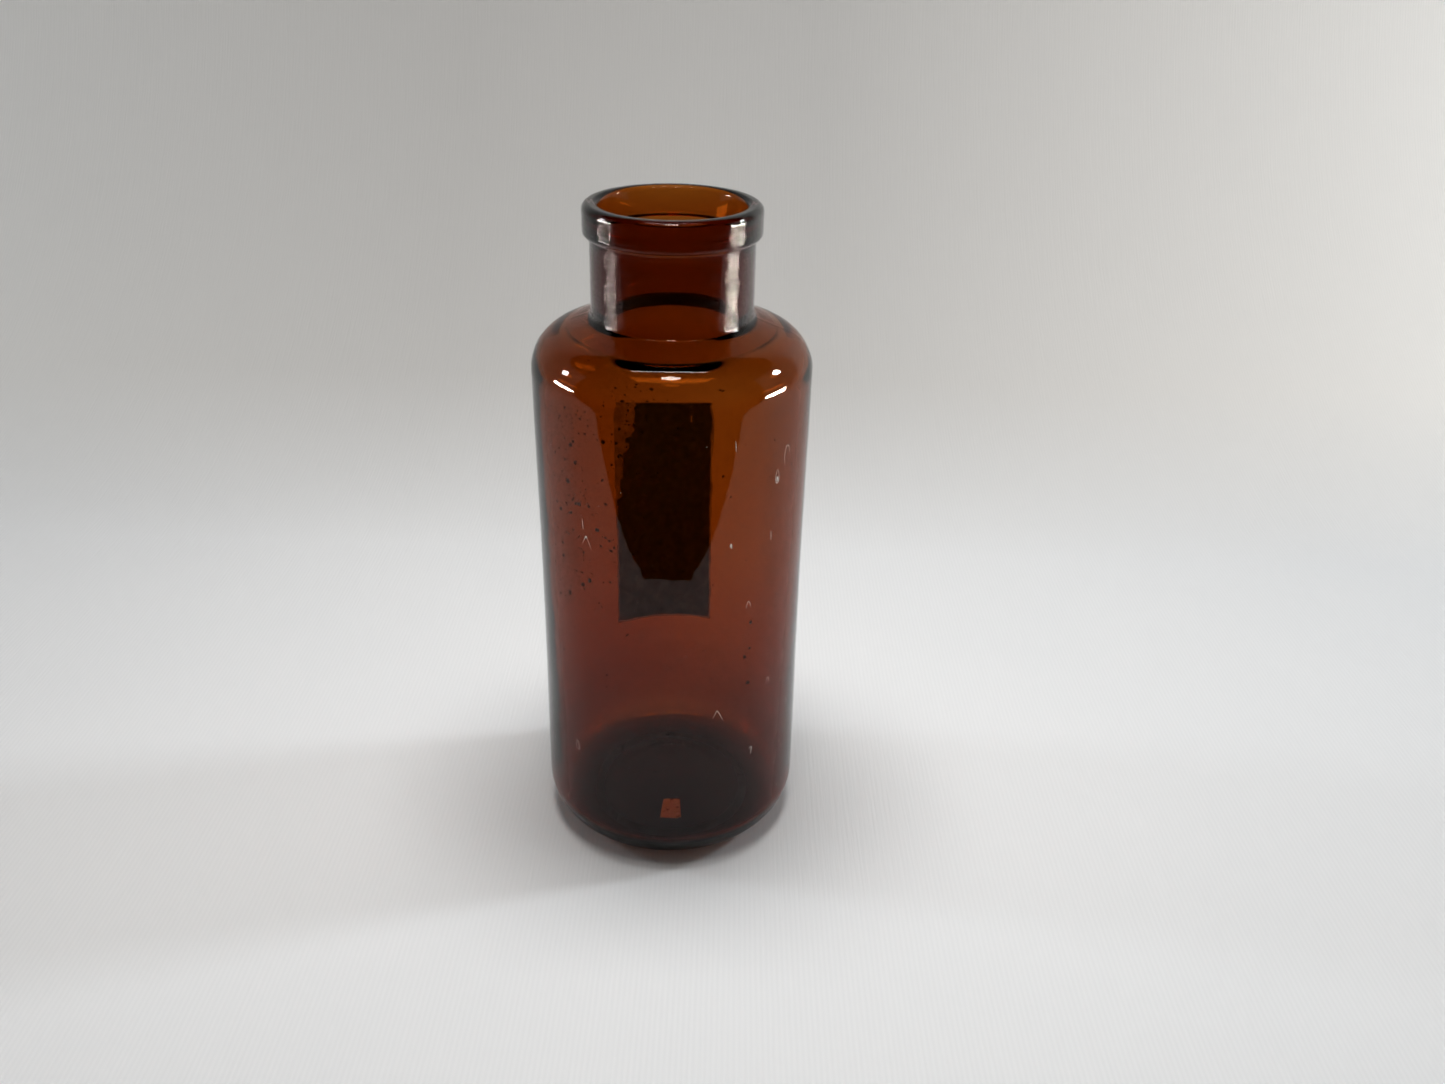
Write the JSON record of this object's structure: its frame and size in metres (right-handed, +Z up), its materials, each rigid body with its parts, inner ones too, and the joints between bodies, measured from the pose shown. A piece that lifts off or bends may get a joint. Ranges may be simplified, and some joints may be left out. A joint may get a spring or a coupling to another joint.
{
  "type": "amber glass medicine bottle",
  "caption": "Round wide-mouth amber glass medicine bottle with a short banded neck, open mouth and a blank paper label gummed to its back.",
  "frame": {"origin": "on the bottle's axis, in the plane that it stands on", "axes": "+Z up along the bottle's axis through the mouth, -Y the plain front, +Y the side that carries the label"},
  "size_m": [0.055, 0.0551, 0.1364],
  "materials": {
    "amber_glass": "clear fire-polished amber glass with light handling marks",
    "dried_gum": "dried, brittle, slightly glossy brown gum",
    "label_paper": "old uncoated paper, browned and mottled, matt",
    "scrap_paper": "dry crumpled paper, golden brown, matt"
  },
  "bodies": {
    "root": {"glass_bottle": "amber_glass", "label_gum": "dried_gum", "back_label": "label_paper", "floor_scrap": "scrap_paper"}
  },
  "joints": []
}
